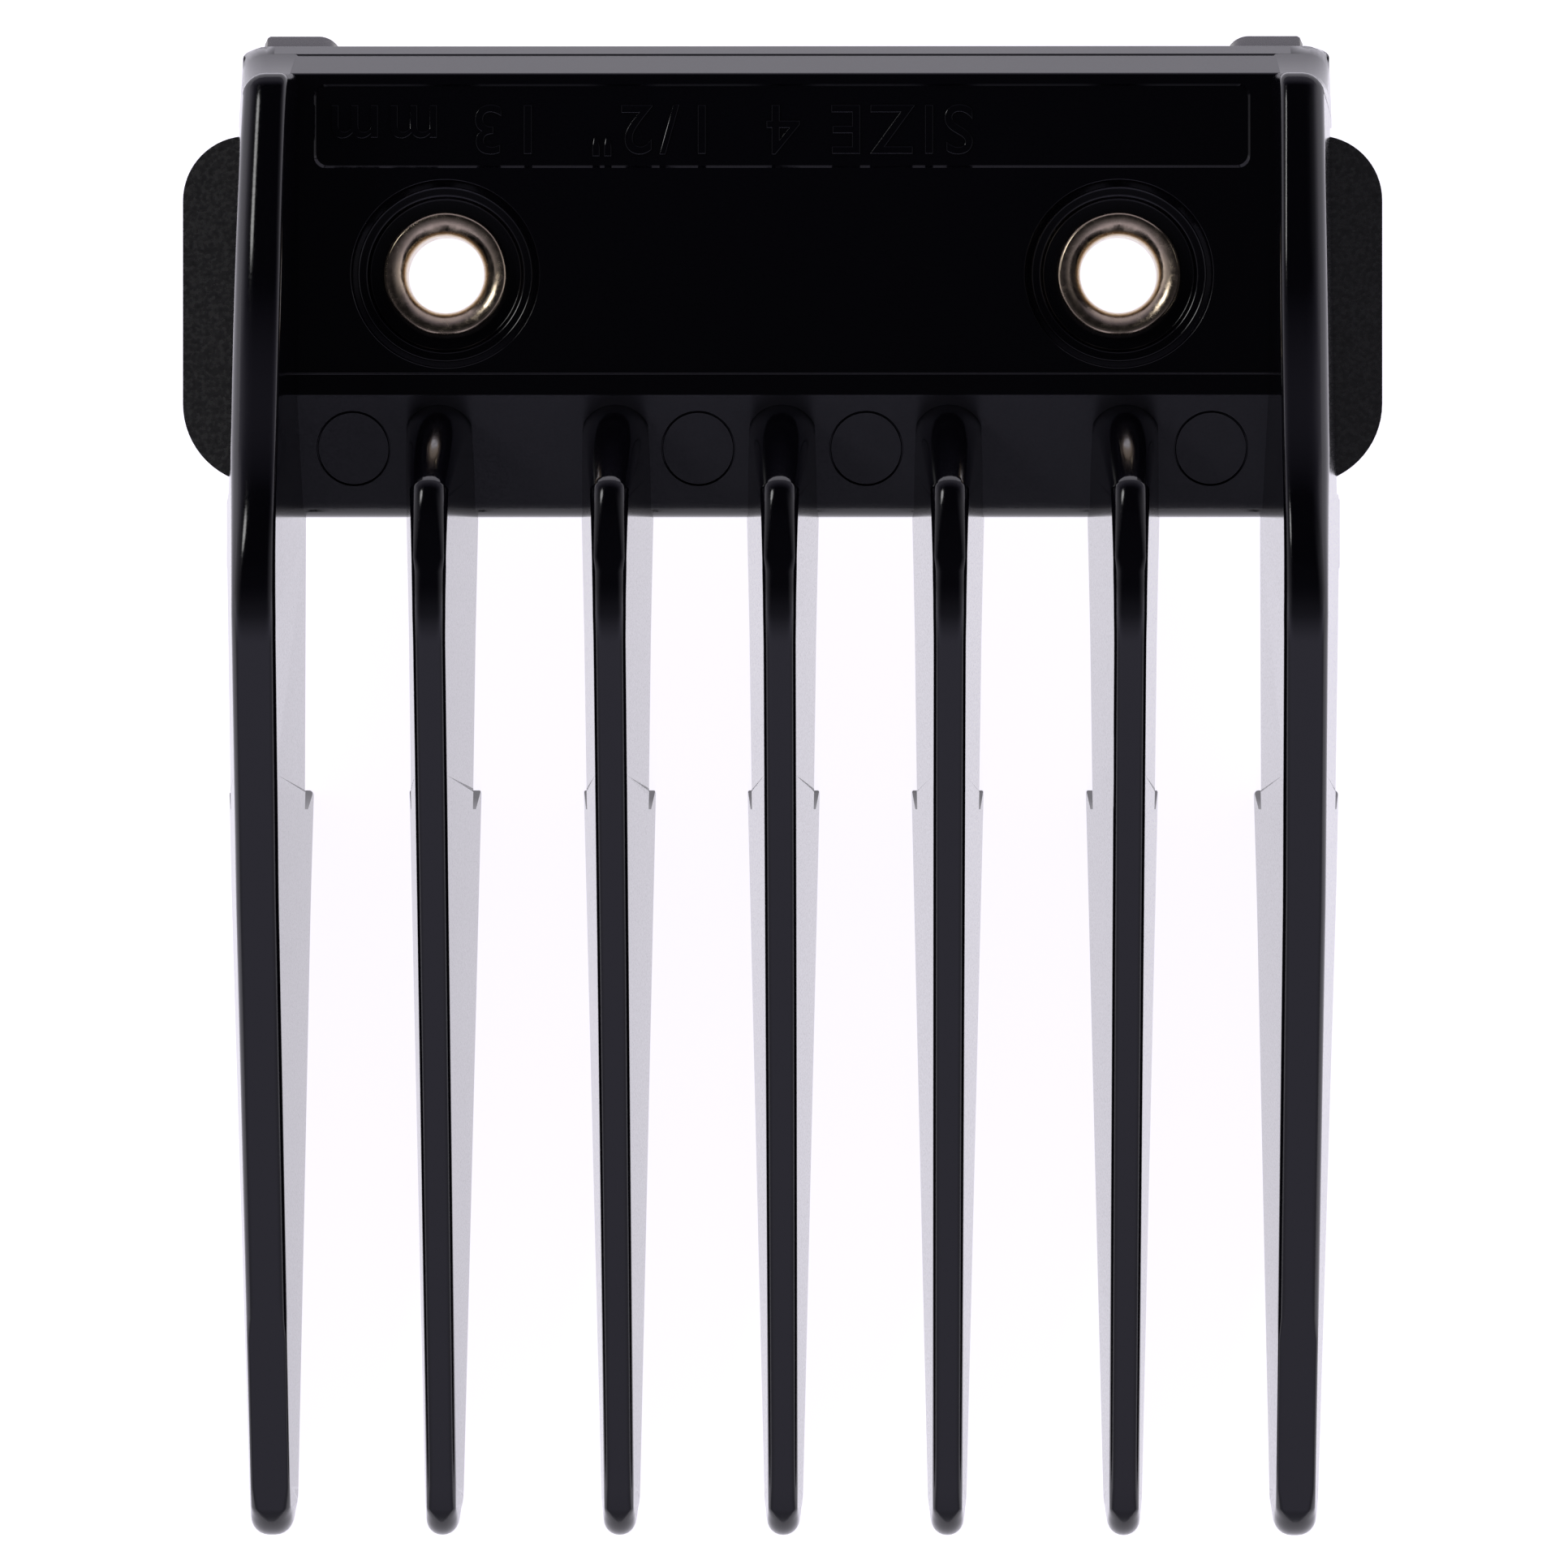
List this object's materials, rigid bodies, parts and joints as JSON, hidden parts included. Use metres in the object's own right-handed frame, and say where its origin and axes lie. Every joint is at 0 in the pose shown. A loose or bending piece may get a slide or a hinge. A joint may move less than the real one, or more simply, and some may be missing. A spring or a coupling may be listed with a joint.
{
  "type": "clipper guard comb",
  "caption": "Clip-on clipper guard comb: black nylon comb with tall tapering teeth between two side walls, an eyelet-riveted spring-steel clip with side wings and a heel lip.",
  "frame": {"origin": "centre of the bounding box's bottom face, where the comb stands on its teeth and clip lip, blade side down", "axes": "+Z from the blade side towards the skin side, +Y from the tooth tips towards the rear, +X to the right seen from the skin side with the tips pointing at the viewer"},
  "size_m": [0.052, 0.0656, 0.0204],
  "materials": {
    "nylon": "glossy moulded black nylon with fine flow marks and scuffs",
    "steel": "tumbled spring steel, fine speckle",
    "nickel": "worn nickel plate, warm"
  },
  "bodies": {
    "comb": {"comb_body": "nylon", "clip_plate": "steel", "eyelet_left": "nickel", "eyelet_right": "nickel"},
    "lip": {"clip_lip": "steel"}
  },
  "joints": [
    {"name": "lip_flex", "type": "hinge", "parent": "comb", "child": "lip", "pos_m": [0, 0.0293, 0.0065], "axis": [1, 0, 0], "range_deg": [0, 12], "stiffness_Nm_per_rad": 0.6, "springref_deg": -2.86}
  ]
}
